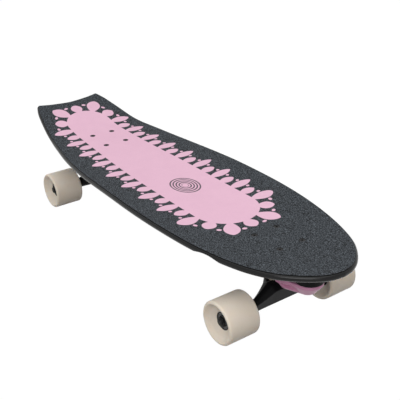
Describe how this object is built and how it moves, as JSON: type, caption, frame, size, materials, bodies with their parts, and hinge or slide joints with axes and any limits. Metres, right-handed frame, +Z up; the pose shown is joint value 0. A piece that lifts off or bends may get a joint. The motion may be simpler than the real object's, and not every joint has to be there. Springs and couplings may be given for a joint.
{
  "type": "surf skateboard",
  "caption": "Surf skateboard: swallow-tail deck with grip sheet, sprung swing-arm front truck, kingpin rear truck and wide cream wheels.",
  "frame": {"origin": "middle of the footprint, on the floor that the wheels stand on", "axes": "+X towards the nose, +Y towards the board's left, +Z up"},
  "size_m": [0.791, 0.245, 0.1542],
  "materials": {
    "deck_wood": "gloss black lacquer",
    "grip": "coarse abrasive sheet with a printed pale pink field",
    "black_metal": "satin black powder coat",
    "arm_paint": "satin pink paint",
    "steel": "zinc plated",
    "dark_steel": "blackened",
    "urethane": "cast cream urethane",
    "bushing": "cast amber urethane",
    "plastic": "moulded"
  },
  "bodies": {
    "root": {"deck_board": "deck_wood", "grip_sheet": "grip", "front_base": "black_metal", "front_pivot_nut": "steel", "front_return_spring": "steel", "front_pivot_pin": "steel", "front_thrust_washer": "plastic", "rear_riser": "plastic", "rear_baseplate": "black_metal", "rear_kingpin": "steel", "rear_kingpin_nut": "steel", "rear_bushing_upper": "bushing", "rear_bushing_lower": "bushing", "rear_washer_upper": "steel", "rear_washer_lower": "steel", "rear_pivot_cup": "plastic", "front_deck_bolt_1": "dark_steel", "front_deck_bolt_2": "dark_steel", "front_deck_bolt_3": "dark_steel", "front_deck_bolt_4": "dark_steel", "rear_deck_bolt_1": "dark_steel", "rear_deck_bolt_2": "dark_steel", "rear_deck_bolt_3": "dark_steel", "rear_deck_bolt_4": "dark_steel", "front_deck_nut_1": "steel", "front_deck_nut_2": "steel", "front_deck_nut_3": "steel", "front_deck_nut_4": "steel", "rear_deck_nut_1": "steel", "rear_deck_nut_2": "steel", "rear_deck_nut_3": "steel", "rear_deck_nut_4": "steel"},
    "front_arm": {"front_swing_arm": "arm_paint", "front_kingpin": "steel", "front_kingpin_nut": "steel", "front_bushing_upper": "bushing", "front_bushing_lower": "bushing", "front_washer_upper": "steel", "front_washer_lower": "steel", "front_pivot_cup": "plastic"},
    "front_hanger": {"front_hanger": "black_metal", "front_axle": "steel", "front_left_axle_nut": "steel", "front_right_axle_nut": "steel"},
    "rear_hanger": {"rear_hanger": "black_metal", "rear_axle": "steel", "rear_left_axle_nut": "steel", "rear_right_axle_nut": "steel"},
    "front_left_wheel": {"front_left_wheel": "urethane", "front_left_bearing_outer": "dark_steel", "front_left_bearing_inner": "dark_steel"},
    "front_right_wheel": {"front_right_wheel": "urethane", "front_right_bearing_outer": "dark_steel", "front_right_bearing_inner": "dark_steel"},
    "rear_left_wheel": {"rear_left_wheel": "urethane", "rear_left_bearing_outer": "dark_steel", "rear_left_bearing_inner": "dark_steel"},
    "rear_right_wheel": {"rear_right_wheel": "urethane", "rear_right_bearing_outer": "dark_steel", "rear_right_bearing_inner": "dark_steel"}
  },
  "joints": [
    {"name": "front_arm_swing", "type": "hinge", "parent": "root", "child": "front_arm", "pos_m": [0.33144, 0, 0.11386], "axis": [-0.0376, 0, 0.9993], "range_deg": [-25, 25], "stiffness_Nm_per_rad": 6, "deforming": ["front_return_spring"]},
    {"name": "front_hanger_lean", "type": "hinge", "parent": "front_arm", "child": "front_hanger", "pos_m": [0.30085, 0, 0.07048], "axis": [0.8446, 0, 0.5353], "range_deg": [-12, 12], "stiffness_Nm_per_rad": 60, "deforming": ["front_bushing_upper", "front_bushing_lower"]},
    {"name": "rear_hanger_lean", "type": "hinge", "parent": "root", "child": "rear_hanger", "pos_m": [-0.27498, 0, 0.07048], "axis": [-0.8446, 0, 0.5353], "range_deg": [-12, 12], "stiffness_Nm_per_rad": 60, "deforming": ["rear_bushing_upper", "rear_bushing_lower"]},
    {"name": "front_left_wheel_spin", "type": "hinge", "parent": "front_hanger", "child": "front_left_wheel", "pos_m": [0.27826, 0.0923, 0.0326], "axis": [0, 1, 0], "continuous": true},
    {"name": "front_right_wheel_spin", "type": "hinge", "parent": "front_hanger", "child": "front_right_wheel", "pos_m": [0.27826, -0.0923, 0.0326], "axis": [0, 1, 0], "continuous": true},
    {"name": "rear_left_wheel_spin", "type": "hinge", "parent": "rear_hanger", "child": "rear_left_wheel", "pos_m": [-0.25239, 0.0923, 0.0326], "axis": [0, 1, 0], "continuous": true},
    {"name": "rear_right_wheel_spin", "type": "hinge", "parent": "rear_hanger", "child": "rear_right_wheel", "pos_m": [-0.25239, -0.0923, 0.0326], "axis": [0, 1, 0], "continuous": true}
  ]
}
